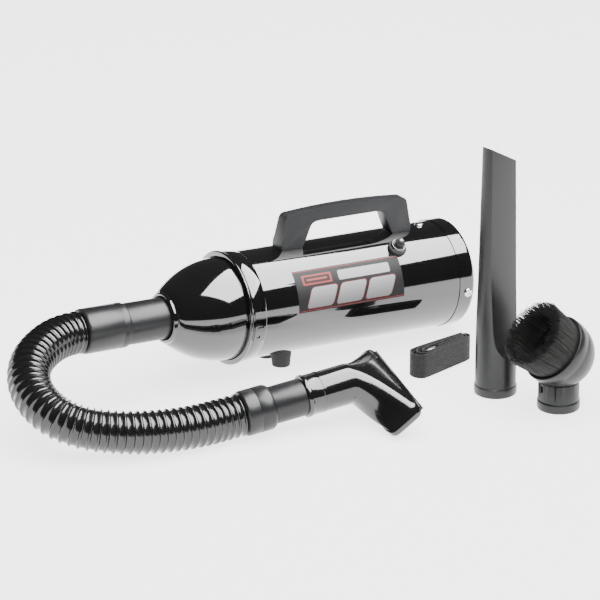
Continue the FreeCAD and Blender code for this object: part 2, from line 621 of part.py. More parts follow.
# ---------------------------------------------------------------- loose tools and strap
CREVICE_SPOT = SPOT + Vector(202.5, -183.8, 0)
CREVICE_TURN = 10
BRUSH_SPOT = SPOT + Vector(233.5, -248.1, 0)
STRAP_SPOT = SPOT + Vector(158, -110, 0.2)
STRAP_TURN = 11.6


def cuff_corners(top, extra=()):
    """Profile of a tool's cuff with the bead at its open end, from the floor up to top."""
    return [(0, "tool_bead - 0.6"), (1, "tool_bead"), (8.6, "tool_bead"), (9.6, "tool_radius"),
            *extra, (top, "tool_radius")]


def crevice_tool():
    """Standing crevice tool: a round cuff whose tube is flattened to a blade with a slanted tip."""
    outer_tube = turned("crevice_tube", cuff_corners(60) + [
        ("crevice_height", "crevice_width / 2"), ("crevice_height", 0), (0, 0)])
    outer_tube.Placement = upright()
    half = "crevice_depth / 2"
    outer_flat = padded("crevice_flat", "YZ_Plane", [
        (-22, -1), (-22, 36), (-13.2, 56), (f"-{half} - 2.2", 118), (f"-{half}", 270), (half, 270), (f"{half} + 2.2", 118),
        (13.2, 56), (22, 36), (22, -1)], 60)
    outer = joined("MultiCommon", "crevice_outer", [outer_tube, outer_flat])
    inner_tube = turned("crevice_bore", [
        (-1, "tool_bore"), (36, "tool_bore"), ("crevice_height + 5", "crevice_width / 2 - 1.7"),
        ("crevice_height + 5", 0), (-1, 0)])
    inner_tube.Placement = upright()
    inner_flat = padded("crevice_slot", "YZ_Plane", [
        (-22, -2), (-22, 27), (-11.4, 56), (f"-{half} - 0.4", 118), (f"-{half} + 1.7", 270), (f"{half} - 1.7", 270),
        (f"{half} + 0.4", 118), (11.4, 56), (22, 27), (22, -2)], 60)
    inner = joined("MultiCommon", "crevice_inner", [inner_tube, inner_flat])
    knife = primitive("Box", "crevice_knife", {"Length": 80, "Width": 60, "Height": 40})
    knife.Placement = Placement(Vector(-18, -30, size("crevice_height") - 0.5), Rotation(Vector(0, 1, 0), 29.5))
    tool = cut("crevice_tool", outer, [inner, knife])
    node("crevice_tool", tool, Placement(CREVICE_SPOT, Rotation(Vector(0, 0, 1), CREVICE_TURN)))


def dusting_brush():
    """Brush standing on its cuff: a neck with a stem, and a round head that tilts on two pivot pins."""
    rise = size("pivot_height")
    neck = turned("neck_tube", cuff_corners("pivot_height - 22") + [("pivot_height - 22", 0), (0, 0)])
    neck.Placement = upright()
    bore = turned("neck_bore", [(-1, "tool_bore"), (16.5, "tool_bore"), (18.5, 8.5), ("pivot_height + 20", 7),
                                ("pivot_height + 20", 0), (-1, 0)])
    bore.Placement = upright()
    ball = primitive("Sphere", "neck_ball", {"Radius": "cup_radius + 0.5"},
                     Placement(Vector(0, 0, rise), Rotation()))
    sleeve = cut("neck_sleeve", neck, [ball])
    stem = primitive("Cylinder", "neck_stem", {"Radius": 10, "Height": "pivot_height - 18"},
                     Placement(Vector(0, 0, 18), Rotation()))
    barrel = primitive("Cylinder", "neck_barrel", {"Radius": 12, "Height": 19},
                       Placement(Vector(0, 9.5, rise), Rotation(Vector(1, 0, 0), 90)))
    solid = joined("MultiFuse", "neck_solid", [sleeve, stem, barrel])
    pin_hole = primitive("Cylinder", "neck_pin_hole", {"Radius": 3.05, "Height": 80},
                         Placement(Vector(0, 40, rise), Rotation(Vector(1, 0, 0), 90)))
    slot = primitive("Box", "neck_bleed", {"Length": 30, "Width": 4, "Height": 7},
                     Placement(Vector(-40, -2, 14), Rotation()))
    node("brush_neck", cut("brush_neck", solid, [bore, pin_hole, slot]), Placement(BRUSH_SPOT, Rotation()))

    head = Placement(BRUSH_SPOT + Vector(0, 0, rise), Rotation(Vector(0, 1, 0), -size("brush_tilt")))
    shell = primitive("Sphere", "cup_ball", {"Radius": "cup_radius"})
    band = primitive("Cylinder", "cup_band", {"Radius": "cup_radius", "Height": 10.5})
    block = primitive("Box", "cup_front", {"Length": 100, "Width": 100, "Height": 60},
                      Placement(Vector(-50, -50, 0), Rotation()))
    back = cut("cup_back", shell, [block])
    outside = joined("MultiFuse", "cup_outside", [back, band])
    hollow_ball = primitive("Sphere", "cup_hollow", {"Radius": "cup_radius - cup_wall"})
    hollow_band = primitive("Cylinder", "cup_mouth", {"Radius": "cup_radius - cup_wall", "Height": 20})
    slot = primitive("Box", "cup_slot", {"Length": 66, "Width": 21.4, "Height": 60},
                     Placement(Vector(-33, -10.7, -62), Rotation()))
    pin_way = primitive("Cylinder", "cup_pin_hole", {"Radius": 3.0, "Height": 100},
                        Placement(Vector(0, 50, 0), Rotation(Vector(1, 0, 0), 90)))
    node("brush_cup", cut("brush_cup", outside, [hollow_ball, hollow_band, slot, pin_way]), head)
    node("bristle_ring", turned("bristle_ring", [
        (5, "cup_radius - cup_wall - 0.02"), (9, "cup_radius - cup_wall - 0.02"), (9, 21.5), (5, 21.5)]),
        head.multiply(upright()))
    node("brush_bristles", turned("brush_bristles", [
        (9.05, 31.5), ("9.05 + bristle_length", 34), ("9.05 + bristle_length", 22.5), (9.05, 22.5)]),
        head.multiply(upright()))
    pins = []
    for side in (-1, 1):
        pins.append(primitive("Cylinder", f"pin_{side}", {"Radius": 2.98, "Height": 28},
                              Placement(Vector(0, 34 if side > 0 else -6, 0), Rotation(Vector(1, 0, 0), 90))))
    node("brush_pivots", joined("Compound", "brush_pivots", pins), head)


def shoulder_strap():
    """Webbing strap folded into a bundle that stands on its edge, with its snap hook inside the fold."""
    bundle = padded("shoulder_strap", "XY_Plane", [
        (-8, -4), (0, -12, "-13"), (50, -10), (88, -6), (88, 8), (40, 10), (3, 11), (-6, 4, "-13")],
        "strap_width")
    node("shoulder_strap", bundle, Placement(
        STRAP_SPOT + Vector(0, 0, size("strap_width") / 2), Rotation(Vector(0, 0, 1), STRAP_TURN)))


PIECES = (motor_housing, end_cap, lock_ring, nose_cone, carry_handle, side_label, front_feet, toggle_switch,
          motor, hose_set, upholstery_nozzle, crevice_tool, dusting_brush, shoulder_strap)
for build in PIECES:
    build()
doc.recompute()

faults = [item.Name for item in doc.Objects if set(item.State) & {"Invalid", "Error"}]
faults += [item.Label for item in NODES if item.Shape.isNull() or not item.Shape.isValid() or not item.Shape.Solids]
if faults:
    raise RuntimeError(f"pieces that failed: {faults}")
for item in NODES:
    item.Shape.exportStep(f"parts/{item.Label}.step")
    print(f"{item.Label}: {len(item.Shape.Solids)} solid, {item.Shape.Volume / 1000:.2f} cm3")
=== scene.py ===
"""A hand-carried canister vacuum with its hose set, loose tools and folded strap, on a studio floor."""
import json
import math
import random

import bpy
from mathutils import Matrix, Vector

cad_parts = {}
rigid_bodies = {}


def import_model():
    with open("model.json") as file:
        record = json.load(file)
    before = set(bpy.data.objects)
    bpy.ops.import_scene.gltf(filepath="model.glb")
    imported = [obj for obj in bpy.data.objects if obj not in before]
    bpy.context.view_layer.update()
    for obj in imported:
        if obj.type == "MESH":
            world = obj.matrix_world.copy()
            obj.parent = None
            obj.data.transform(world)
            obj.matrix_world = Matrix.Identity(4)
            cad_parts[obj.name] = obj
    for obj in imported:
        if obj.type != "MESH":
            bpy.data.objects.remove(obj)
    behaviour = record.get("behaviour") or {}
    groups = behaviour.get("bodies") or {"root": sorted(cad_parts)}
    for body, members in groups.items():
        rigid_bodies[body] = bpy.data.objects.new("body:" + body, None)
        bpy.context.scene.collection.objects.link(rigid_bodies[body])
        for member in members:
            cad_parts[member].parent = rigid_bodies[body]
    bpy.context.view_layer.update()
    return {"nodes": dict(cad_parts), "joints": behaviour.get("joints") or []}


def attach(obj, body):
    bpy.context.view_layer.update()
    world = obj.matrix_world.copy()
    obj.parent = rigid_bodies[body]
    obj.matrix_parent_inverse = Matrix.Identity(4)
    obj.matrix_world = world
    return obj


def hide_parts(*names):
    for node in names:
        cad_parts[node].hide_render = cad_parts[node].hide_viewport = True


for item in list(bpy.data.objects):
    bpy.data.objects.remove(item)
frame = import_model()
nodes = frame["nodes"]

camera_data = bpy.data.cameras.new("camera")
camera_data.lens = 270.4
camera_data.clip_end = 50
camera = bpy.data.objects.new("camera", camera_data)
bpy.context.scene.collection.objects.link(camera)
camera.location = (-2.20436, -3.4597, 1.7153)
aim = Vector((-0.01715, 0.1078, 0.06033)) - camera.location
camera.rotation_euler = aim.to_track_quat("-Z", "Y").to_euler()
bpy.context.scene.camera = camera

# ---- Ribbed hose --------------------------------------------------------------------------------
# Blow-moulded black hose with closely spaced ribs. It leaves the canister's connector, bends down
# in one U to the floor and runs back to the wand end, held in a moulded cuff at each end.
flange = Vector((-0.10386, 0.1128, 0))
canister = Matrix.Translation(flange + Vector((0, 0, 0.06825))) @ Matrix.Rotation(math.radians(2.93), 4, "Y")
cuff_face = canister @ Vector((-0.161, 0, 0))
hose_way = canister.to_3x3() @ Vector((-1, 0, 0))
wand_face = flange + Vector((-0.068, -0.1504, 0.0236))
wand_way = Vector((0.983, -0.143, 0.12)).normalized()
hose_route = [cuff_face, cuff_face + hose_way * 0.017]
for bend in ((-0.205, -0.012, 0.077), (-0.235, -0.032, 0.070), (-0.250, -0.060, 0.056),
             (-0.246, -0.092, 0.042),
             (-0.225, -0.116, 0.031), (-0.190, -0.134, 0.025), (-0.152, -0.144, 0.022),
             (-0.115, -0.149, 0.021)):
    hose_route.append(flange + Vector(bend))
hose_route += [wand_face - wand_way * 0.017, wand_face]


class Wire:
    """What comes out of a shader node. Numbers and wires combine with the usual signs."""

    def __init__(self, finish, socket):
        self.finish = finish
        self.socket = socket

    def math(self, operation, *values):
        return self.finish.node("ShaderNodeMath", {"operation": operation}, dict(enumerate((self, *values))))

    def output(self, index):
        return Wire(self.finish, self.socket.node.outputs[index])

    def __add__(self, other):
        return self.math("ADD", other)

    def __sub__(self, other):
        return self.math("SUBTRACT", other)

    def __rsub__(self, other):
        return (self * -1) + other

    def __mul__(self, other):
        return self.math("MULTIPLY", other)

    def __truediv__(self, other):
        return self.math("DIVIDE", other)

    def __lt__(self, other):
        return self.math("LESS_THAN", other)

    def __gt__(self, other):
        return self.math("GREATER_THAN", other)

    __radd__ = __add__
    __rmul__ = __mul__


class Finish:
    """One material round a Principled shader; keywords set the shader's own constant sockets."""

    def __init__(self, name, **constants):
        self.material = bpy.data.materials.new(name)
        self.material.use_nodes = True
        self.tree = self.material.node_tree
        self.shader = self.tree.nodes["Principled BSDF"]
        for key, value in constants.items():
            self.shader.inputs[key.replace("_", " ")].default_value = value

    def node(self, kind, settings=None, values=None, output=0):
        made = self.tree.nodes.new(kind)
        for key, value in (settings or {}).items():
            if key == "stops":
                ramp = made.color_ramp
                while len(ramp.elements) < len(value):
                    ramp.elements.new(1.0)
                for element, (place, shade) in zip(ramp.elements, value):
                    element.position = place
                    element.color = shade
            else:
                setattr(made, key, value)
        for key, value in (values or {}).items():
            if isinstance(value, Wire):
                self.tree.links.new(value.socket, made.inputs[key])
            else:
                made.inputs[key].default_value = value
        return Wire(self, made.outputs[output])

    def place(self):
        return self.node("ShaderNodeTexCoord", output=3)

    def noise(self, scale, detail=2.0, vector=None, stretch=None):
        vector = vector or self.place()
        if stretch:
            vector = self.node("ShaderNodeMapping", values={0: vector, 3: stretch})
        return self.node("ShaderNodeTexNoise", values={"Vector": vector, "Scale": scale, "Detail": detail})

    def tint(self, share, low, high):
        """Low where the share is 0 and high where it is 1."""
        return self.node("ShaderNodeMix", {"data_type": "RGBA"}, {0: share, 6: (*low, 1), 7: (*high, 1)},
                         output=2)

    def feed(self, key, wire):
        self.tree.links.new(wire.socket, self.shader.inputs[key])

    def bump(self, height, distance, strength=1.0):
        self.feed("Normal", self.node("ShaderNodeBump", values={
            "Height": height, "Distance": distance, "Strength": strength}))


def plastic(name, shade, rough, grain_size=0.0007, depth=0.00004, **constants):
    """Moulded plastic or paint: a cloudy shade, uneven polish, faint rub marks and a fine grain."""
    made = Finish(name, **constants)
    cloud = made.noise(18, 3)
    made.feed("Base Color", made.tint(cloud, [part * 0.8 for part in shade], [part * 1.25 for part in shade]))
    rub = made.noise(60, 4, stretch=(1, 1, 6))
    made.feed("Roughness", rough * 0.85 + cloud * rough * 0.2 + (rub > 0.62) * rough * 0.12)
    made.bump(made.noise(1 / grain_size, 1), depth)
    return made


def picked(piece):
    """Make a piece the only selected object, and the active one."""
    for item in bpy.context.selected_objects:
        item.select_set(False)
    piece.select_set(True)
    bpy.context.view_layer.objects.active = piece


def applied(piece, kind, **settings):
    """Add a modifier to a piece and apply it."""
    picked(piece)
    modifier = piece.modifiers.new(kind.lower(), kind)
    for key, value in settings.items():
        setattr(modifier, key, value)
    bpy.ops.object.modifier_apply(modifier=modifier.name)


def settled(piece, place, name):
    """Put a piece in its place through its mesh, so that its object stays at the origin."""
    piece.data.transform(place @ piece.matrix_world)
    piece.matrix_world = Matrix.Identity(4)
    piece.name = name
    return piece


def fitted(piece, body, slot, finish, *stands_for):
    """Give a finished piece its material and its body, and hide the CAD nodes that it stands for."""
    piece.data.materials.clear()
    piece.data.materials.append(finish.material)
    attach(piece, body)
    if stands_for:
        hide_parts(*stands_for)
    return piece


def lathed(profile, sides=96, closed=True, soft=0.0, angle=30):
    """Rings extruded one after another along Z through (height, radius) pairs, in metres."""
    bpy.ops.object.select_all(action="DESELECT")
    (height, radius), rest = profile[0], list(profile[1:])
    if closed:
        rest.append(profile[0])
    bpy.ops.mesh.primitive_circle_add(vertices=sides, radius=radius, location=(0, 0, height))
    piece = bpy.context.object
    bpy.ops.object.mode_set(mode="EDIT")
    bpy.ops.mesh.select_all(action="SELECT")
    for level, wide in rest:
        bpy.ops.mesh.extrude_region_move(TRANSFORM_OT_translate={"value": (0, 0, level - height)})
        bpy.ops.transform.resize(value=(wide / radius, wide / radius, 1), center_override=(0, 0, level))
        height, radius = level, wide or radius
    bpy.ops.mesh.select_all(action="SELECT")
    bpy.ops.mesh.remove_doubles(threshold=1e-6)
    bpy.ops.mesh.normals_make_consistent(inside=False)
    bpy.ops.object.mode_set(mode="OBJECT")
    if soft:
        applied(piece, "BEVEL", width=soft, segments=3, limit_method="ANGLE", angle_limit=math.radians(angle))
    bpy.ops.object.shade_smooth_by_angle(angle=math.radians(40))
    return settled(piece, Matrix.Identity(4), piece.name)


def line_through(name, corners):
    """A NURBS line led by the corners; its curve and the points along it, evenly spaced."""
    curve = bpy.data.curves.new(name, "CURVE")
    curve.dimensions = "3D"
    spline = curve.splines.new("NURBS")
    spline.points.add(len(corners) - 1)
    for point, corner in zip(spline.points, corners):
        point.co = (*corner, 1)
    spline.order_u = 3
    spline.use_endpoint_u = True
    spline.resolution_u = 24
    item = bpy.data.objects.new(name, curve)
    bpy.context.scene.collection.objects.link(item)
    bpy.context.view_layer.update()
    mesh = bpy.data.meshes.new_from_object(item)
    points = [vertex.co.copy() for vertex in mesh.vertices]
    bpy.data.meshes.remove(mesh)
    return item, points


def length_of(points):
    return sum((after - before).length for before, after in zip(points, points[1:]))


hose_line, hose_points = line_through("hose_line", hose_route)
bpy.data.objects.remove(hose_line)
hose_length = length_of(hose_points)
rib_count = 46
pitch = hose_length / rib_count
groove, shoulder, crest = 0.0189, 0.0204, 0.0210
hose = lathed([(share * pitch, radius) for share, radius in (
    (0, groove), (0.26, groove), (0.36, 0.0193), (0.44, shoulder), (0.52, crest), (0.60, crest),
    (0.68, shoulder),
    (0.76, 0.0193), (0.86, groove), (1, groove))], sides=56, closed=False)
applied(hose, "ARRAY", count=rib_count, use_relative_offset=False, use_constant_offset=True,
        constant_offset_displace=(0, 0, pitch), use_merge_vertices=True, merge_threshold=1e-5)


def frames_along(points):
    """Distance, point and two cross directions at each point of a line, without any twist."""
    ways = [(after - before).normalized() for before, after in zip(points, points[1:])]
    ways.append(ways[-1])
    side = ways[0].orthogonal().normalized()
    made, distance = [], 0.0
    for index, (point, way) in enumerate(zip(points, ways)):
        middle = (way + ways[max(index - 1, 0)]).normalized()
        side = (side - middle * side.dot(middle)).normalized()
        if index:
            distance += (point - points[index - 1]).length
        made.append((distance, point, side.copy(), middle.cross(side)))
    return made


def laid_along(piece, points):
    """Bend a piece made along Z onto a line of points."""
    stations = frames_along(points)
    at = 0
    for vertex in sorted(piece.data.vertices, key=lambda item: item.co.z):
        while at < len(stations) - 2 and stations[at + 1][0] < vertex.co.z:
            at += 1
        (start, near, side, up), (end, far, far_side, far_up) = stations[at], stations[at + 1]
        share = (vertex.co.z - start) / (end - start)
        vertex.co = (near.lerp(far, share) + side.lerp(far_side, share) * vertex.co.x
                     + up.lerp(far_up, share) * vertex.co.y)


laid_along(hose, hose_points)
applied(hose, "SOLIDIFY", thickness=0.0015, offset=-1)
bpy.ops.object.shade_smooth_by_angle(angle=math.radians(60))
hose.name = "ribbed_hose"
hose_black = plastic("hose_black", (0.011, 0.011, 0.012), 0.2, 0.0011, 0.00005, Coat_Weight=0.25,
                     Coat_Roughness=0.08)
fitted(hose, "hose", "gloss_black_plastic", hose_black, "hose_tube")

# ---- Hose cuffs and wand end --------------------------------------------------------------------
# Satin PVC mouldings: a connector that pushes into the canister's nose, a wider cuff moulded on the
# hose at each end, and the narrow wand end that takes the tools.
satin_black = plastic("satin_black", (0.016, 0.0165, 0.018), 0.36, 0.0006, 0.00003, Specular_IOR_Level=0.4)
along_canister = canister @ Matrix.Rotation(math.radians(90), 4, "Y")
along_wand = Matrix.Translation(wand_face) @ wand_way.to_track_quat("Z", "Y").to_matrix().to_4x4()

connector = settled(lathed([
    (-0.1140, 0.02075), (-0.0560, 0.02075), (-0.0510, 0.0199), (-0.0510, 0.0175), (-0.1140, 0.0175)],
    soft=0.0004), along_canister, "nose_connector_moulding")
upper_cuff = settled(lathed([
    (-0.1610, 0.0213), (-0.1596, 0.0222), (-0.1580, 0.0224), (-0.1230, 0.0224), (-0.1224, 0.0222),
    (-0.1218, 0.0224),
    (-0.1152, 0.0224), (-0.1140, 0.0212), (-0.1140, 0.0172), (-0.1610, 0.0172)], soft=0.0004),
    along_canister, "upper_cuff_moulding")
lower_cuff = settled(lathed([
    (0, 0.0212), (0.0014, 0.0223), (0.0130, 0.0223), (0.0136, 0.0220), (0.0142, 0.0223), (0.0255, 0.0223),
    (0.0272, 0.0218), (0.0288, 0.0209), (0.0298, 0.0198), (0.0300, 0.0190), (0.0300, 0.0162), (0, 0.0162)],
    soft=0.0003), along_wand, "lower_cuff_moulding")
wand = settled(lathed([
    (0.0300, 0.0185), (0.0892, 0.0185), (0.0900, 0.0178), (0.0900, 0.0162), (0.0300, 0.0162)], soft=0.0003),
    along_wand, "wand_end_moulding")
for piece, node_name in ((connector, "nose_connector"), (upper_cuff, "upper_cuff"),
                         (lower_cuff, "lower_cuff"),
                         (wand, "wand_end")):
    fitted(piece, "hose", "black_plastic", satin_black, node_name)

# ---- Upholstery nozzle --------------------------------------------------------------------------
# One gloss-black injection moulding: a round neck with a collar bead, a tent-shaped head and a thick
# rim round the mouth, with a toothed lint strip moulded along the mouth's upper edge.
nozzle_black = plastic("nozzle_black", (0.010, 0.010, 0.011), 0.14, 0.0014, 0.00003, Coat_Weight=0.6,
                       Coat_Roughness=0.05)
collar_spot = wand_face + wand_way * 0.063
neck_end = wand_face + wand_way * 0.112
mouth_long = Vector((0.15, 0.977, 0.15)).normalized()
mouth_out = Vector((0.643, 0.018, -0.763)).normalized()
mouth_centre = flange + Vector((0.0746, -0.1796, 0.0235))
mouth_up = -mouth_long.cross(mouth_out)
neck_up = wand_way.cross(mouth_long)
rim_back = mouth_centre - mouth_out * 0.006


def oval_ring(centre, across, up, width, height, power, count=64):
    """Points round an oval whose corners fill out as the power grows; a power of 2 is an ellipse."""
    points = []
    for index in range(count):
        turn = 2 * math.pi * (index + 0.5) / count
        sides = [math.copysign(abs(part) ** (2 / power), part) for part in (math.cos(turn), math.sin(turn))]
        points.append(centre + across * (sides[0] * width / 2) + up * (sides[1] * height / 2))
    return points


def skinned(rings, smooth=40):
    """A circle extruded once for each further ring, with every ring's corners then set in their places."""
    bpy.ops.object.select_all(action="DESELECT")
    bpy.ops.mesh.primitive_circle_add(vertices=len(rings[0]), radius=1)
    piece = bpy.context.object
    bpy.ops.object.mode_set(mode="EDIT")
    bpy.ops.mesh.select_all(action="SELECT")
    for _ in rings[1:]:
        bpy.ops.mesh.extrude_region_move(TRANSFORM_OT_translate={"value": (0, 0, 1)})
    bpy.ops.object.mode_set(mode="OBJECT")
    floors = {}
    for vertex in piece.data.vertices:
        floors.setdefault(round(vertex.co.z), []).append(vertex)
    for level, ring in enumerate(rings):
        around = sorted(floors[level], key=lambda item: math.atan2(item.co.y, item.co.x))
        for vertex, point in zip(around, ring):
            vertex.co = point
    bpy.ops.object.mode_set(mode="EDIT")
    bpy.ops.mesh.select_all(action="SELECT")
    bpy.ops.mesh.remove_doubles(threshold=1e-6)
    bpy.ops.mesh.normals_make_consistent(inside=False)
    bpy.ops.object.mode_set(mode="OBJECT")
    bpy.ops.object.shade_smooth_by_angle(angle=math.radians(smooth))
    return piece


def nozzle_rings(inset):
    """The head's rings, from the round neck's end to the mouth, each one wider and flatter than the last."""
    rings = []
    for step in range(13):
        share = step / 12
        fan = share ** 1.25
        lift = share ** 0.8
        centre = neck_end.lerp(rim_back, share)
        up = neck_up.lerp(mouth_up, share).normalized()
        width = 0.040 + (0.1215 - 0.040) * fan - 2 * inset
        height = 0.040 + (0.0385 - 0.040) * lift - 2 * inset
        rings.append(oval_ring(centre, mouth_long, up, width, height, 2 + 5 * share ** 2))
    return rings


outer = nozzle_rings(0)
rim = [oval_ring(rim_back + mouth_out * depth, mouth_long, mouth_up, width, height, 7) for depth, width,
       height in (
    (0.0000, 0.1215, 0.0385), (0.0003, 0.1245, 0.0412), (0.0012, 0.1250, 0.0417), (0.0050, 0.1250, 0.0417),
    (0.0060, 0.1240, 0.0407), (0.0060, 0.1185, 0.0352), (0.0050, 0.1175, 0.0342))]
inner = nozzle_rings(0.0019)[::-1]
neck_back = [oval_ring(collar_spot + wand_way * 0.003, mouth_long, neck_up, bore, bore,
                       2) for bore in (0.0362, 0.0400)]
head = skinned(outer + rim + inner + [neck_back[0], neck_back[1], outer[0]], 50)
head.name = "nozzle_head"
fitted(head, "nozzle", "gloss_black_plastic", nozzle_black, "nozzle_body")
collar = settled(lathed([
    (0.0630, 0.0192), (0.0635, 0.0206), (0.0645, 0.0210), (0.0672, 0.0210), (0.0682, 0.0206),
    (0.0690, 0.0202),
    (0.0800, 0.0201), (0.0803, 0.0204), (0.0812, 0.0204), (0.0815, 0.0201), (0.0830, 0.0200),
    (0.0830, 0.0187),
    (0.0630, 0.0187)], sides=96), along_wand, "nozzle_collar")
fitted(collar, "nozzle", "gloss_black_plastic", nozzle_black)
strip_rubber = plastic("strip_rubber", (0.014, 0.014, 0.014), 0.5)
bpy.ops.object.select_all(action="DESELECT")
bpy.ops.mesh.primitive_cone_add(vertices=8, radius1=0.0014, radius2=0.0009, depth=0.0034)
tooth = bpy.context.object
applied(tooth, "ARRAY", count=38, use_relative_offset=False, use_constant_offset=True,
        constant_offset_displace=(0, 0.0030, 0))
edge_start = mouth_centre + mouth_up * 0.0199 - mouth_long * 0.0555 + mouth_out * -0.0009
turn = Matrix((mouth_up.cross(mouth_long) * -1, mouth_long, mouth_up)).transposed().to_4x4()
settled(tooth, Matrix.Translation(edge_start) @ turn, "lint_teeth")
fitted(tooth, "nozzle", "black_rubber", strip_rubber, "lint_strip")

# ---- Canister shell -----------------------------------------------------------------------------
# Rolled and spun steel parts with a hard gloss-black stove paint: the tube, the drawn end cap, the
# bayonet ring with its rolled lip, and the bullet-shaped nose with its rolled neck.
paint = plastic("gloss_paint", (0.0085, 0.0085, 0.0092), 0.07, 0.0025, 0.000012, Coat_Weight=1.0,
                Coat_Roughness=0.02, Specular_IOR_Level=0.6)


def coated(finish, *names):
    """Give CAD bodies that stay as they are their material."""
    for name in names:
        nodes[name].data.materials.clear()
        nodes[name].data.materials.append(finish.material)


coated(paint, "motor_housing", "end_cap")
nose_root, nose_end, nose_run, nose_curve = 0.0515, 0.0278, 0.0625, 0.0943


def bulge(run):
    """The nose's radius on its arc alone, at a distance forward of the arc's start."""
    return nose_root - nose_curve + math.sqrt(nose_curve ** 2 - run ** 2)


nose_profile = [(0.0140, nose_root), (-0.0025, nose_root)]
for step in range(1, 15):
    run = step * nose_run / 14
    taper = (bulge(nose_run) - nose_end) * run / nose_run
    nose_profile.append((-0.0025 - run, bulge(run) - taper))
nose_profile += [
    (-0.0655, 0.0268), (-0.0662, 0.0256), (-0.0670, 0.0253), (-0.0684, 0.0254), (-0.0695, 0.0248),
    (-0.0700, 0.0238),
    (-0.0698, 0.0226), (-0.0690, 0.0215), (-0.0680, 0.0211), (-0.0500, 0.0211), (-0.0500, 0.0226),
    (-0.0620, 0.0228), (-0.0600, 0.0290), (-0.0300, 0.0452), (-0.0025, 0.0499), (0.0140, 0.0499)]
nose = settled(lathed(nose_profile, sides=128), along_canister, "nose_shell")
fitted(nose, "nose", "gloss_black_paint", paint, "nose_cone")
band = settled(lathed([
    (-0.0010, 0.0563), (-0.0006, 0.0569), (0.0002, 0.0572), (0.0010, 0.0571), (0.0017, 0.0565),
    (0.0022, 0.0556),
    (0.0032, 0.0553), (0.0036, 0.0555), (0.0174, 0.0555), (0.0180, 0.0551), (0.0180, 0.05412),
    (0.0015, 0.05412),
    (0.0015, 0.0523), (-0.0010, 0.0523)], sides=128), along_canister, "bayonet_band")
fitted(band, "bayonet_ring", "gloss_black_paint", paint, "lock_ring")

# ---- Latch plate and screws ---------------------------------------------------------------------
# The plate is pressed spring steel, painted with the ring. The screws are nickel-plated pan heads
# with a cross recess, one at the rear of the handle and two in the end cap, with two under the feet.
coated(paint, "latch_plate")
plated = Finish("bright_plating", Metallic=1.0)
plate_cloud = plated.noise(140, 3)
plated.feed("Base Color", plated.tint(plate_cloud, (0.56, 0.56, 0.57), (0.78, 0.78, 0.79)))
plated.feed("Roughness", 0.12 + plate_cloud * 0.16)
plated.bump(plated.noise(900, 2), 0.00002)


def on_side(station, degrees, radius):
    """A place on the canister's side with Z outwards; degrees run from the top towards -Y."""
    return (canister @ Matrix.Translation((station, 0, 0)) @ Matrix.Rotation(math.radians(degrees), 4, "X")
            @ Matrix.Translation((0, 0, radius)))


def carved(piece, tool, how="DIFFERENCE"):
    applied(piece, "BOOLEAN", object=tool, operation=how, solver="EXACT")
    bpy.data.objects.remove(tool)
    return piece


def block(sizes, place=Matrix.Identity(4)):
    """A cube primitive scaled to three sizes, as a cutting tool or a blank."""
    bpy.ops.object.select_all(action="DESELECT")
    bpy.ops.mesh.primitive_cube_add(size=1)
    piece = bpy.context.object
    return settled(piece, place @ Matrix.Diagonal((*sizes, 1)), "block")


def capped():
    """Close the open ends of the turned piece that was made last."""
    bpy.ops.object.mode_set(mode="EDIT")
    bpy.ops.mesh.select_all(action="SELECT")
    bpy.ops.mesh.fill_holes(sides=0)
    bpy.ops.mesh.normals_make_consistent(inside=False)
    bpy.ops.object.mode_set(mode="OBJECT")


def cross_head(name, place, radius, rise, shank, length, twist):
    """A pan-head screw: a turned head and shank with a cross recess cut in its crown."""
    screw = lathed([
        (-length, shank), (0, shank), (0, radius), (rise * 0.42, radius * 0.99), (rise * 0.70, radius * 0.90),
        (rise * 0.90, radius * 0.68), (rise, radius * 0.36), (rise, 0)], sides=36, closed=False)
    capped()
    for quarter in (0, 90):
        carved(screw, block((radius * 1.15, radius * 0.24, rise), Matrix.Translation((0, 0, rise * 0.95))
                            @ Matrix.Rotation(math.radians(twist + quarter), 4, "Z")))
    picked(screw)
    bpy.ops.object.shade_smooth_by_angle(angle=math.radians(35))
    return settled(screw, place, name)


rear = cross_head("rear_handle_screw", on_side(0.228, 0, 0.054), 0.0044, 0.0022, 0.00195, 0.010, 20)
fitted(rear, "canister", "plated_steel", plated, "rear_screw")
left = cross_head("cap_screw_near", on_side(0.2555, 95, 0.05475), 0.0044, 0.0022, 0.0019, 0.0033, 50)
fitted(left, "canister", "plated_steel", plated, "cap_screws")
right = cross_head("cap_screw_far", on_side(0.2555, -85, 0.05475), 0.0044, 0.0022, 0.0019, 0.0033, 10)
fitted(right, "canister", "plated_steel", plated)
coated(plated, "handle_screws", "foot_screws", "brush_springs")

# ---- Carrying handle ----------------------------------------------------------------------------
# A satin charcoal moulding: an arch that narrows from its two feet to the grip, saddled on the tube
# and screwed from inside. Its edges are broken with a small radius.
handle_grey = plastic("handle_grey", (0.030, 0.031, 0.034), 0.40, 0.0005, 0.00005, Specular_IOR_Level=0.35)
arch = [(0.0605, 0.046), (0.0605, 0.060), (0.0620, 0.066), (0.0648, 0.0842), (0.0664, 0.0872),
        (0.0692, 0.0886)]
arch += [(0.0730 + 0.0158 * step, 0.0888 + 0.0028 * (1 - ((step - 4) / 4) ** 2)) for step in range(9)]
arch += [(0.2025, 0.0886), (0.2060, 0.0872), (0.2076, 0.0842), (0.2108, 0.066), (0.2120, 0.060),
         (0.2120, 0.046),
         (0.1907, 0.046), (0.1905, 0.054), (0.1865, 0.062), (0.1815, 0.0735), (0.1790, 0.0768),
         (0.1755, 0.0785),
         (0.1700, 0.0790), (0.1050, 0.0790), (0.0995, 0.0785), (0.0960, 0.0768), (0.0935, 0.0735),
         (0.0885, 0.062),
         (0.0845, 0.054), (0.0842, 0.046)]


